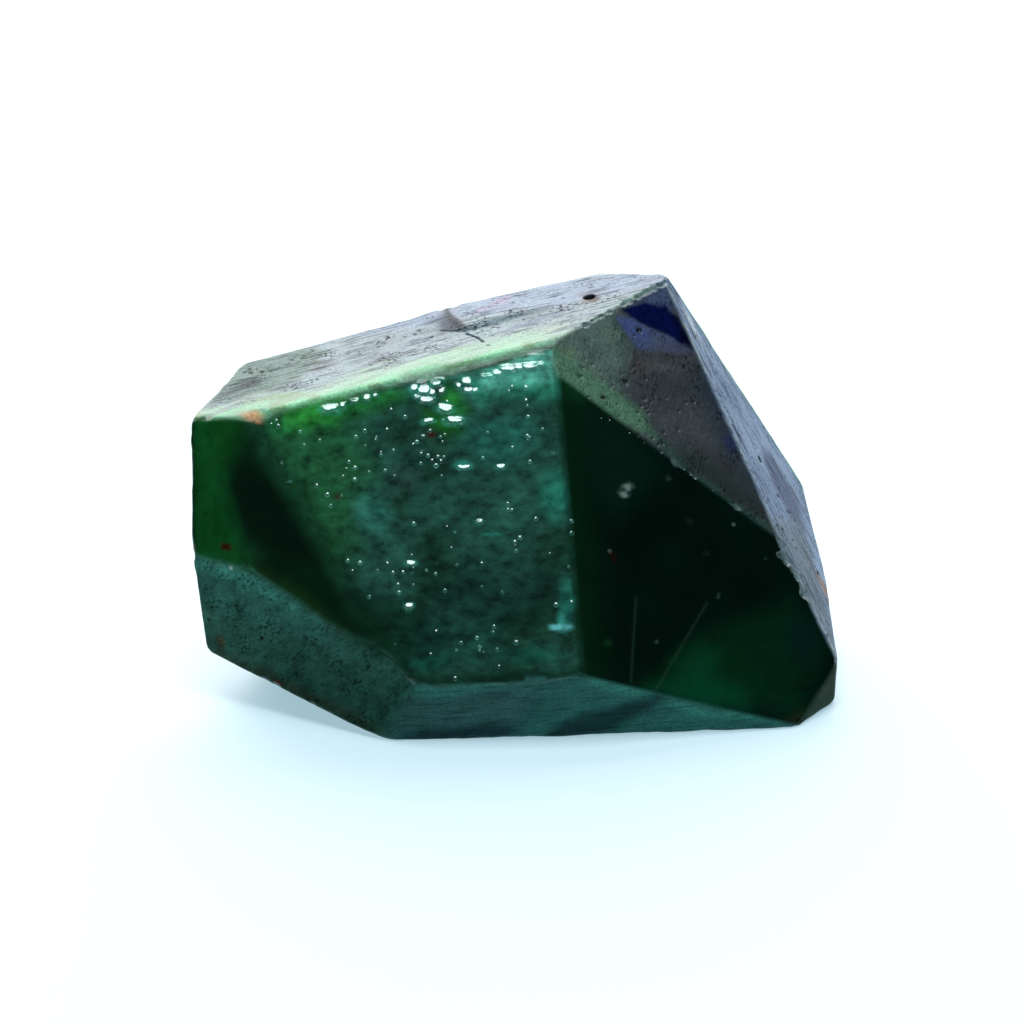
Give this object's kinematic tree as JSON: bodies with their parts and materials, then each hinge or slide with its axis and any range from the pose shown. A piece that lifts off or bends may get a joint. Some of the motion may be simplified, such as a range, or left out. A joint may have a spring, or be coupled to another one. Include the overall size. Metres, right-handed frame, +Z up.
{
  "type": "rough tourmaline stone",
  "caption": "Rough green tourmaline with a blue corner, ground into flat facets with worn, chipped and pitted edges; lies on a flat base facet.",
  "frame": {"origin": "centre of the bounding box's bottom, on the base facet that the stone lies on", "axes": "+X along the stone's length towards the blue end, -Y out of the large ground front facets, +Z up"},
  "size_m": [0.04, 0.0228, 0.023],
  "materials": {
    "green_tourmaline": "ground crystal with a soft gloss, dark green with a blue zone, faintly see-through"
  },
  "bodies": {
    "root": {"rough_tourmaline": "green_tourmaline"}
  },
  "joints": []
}
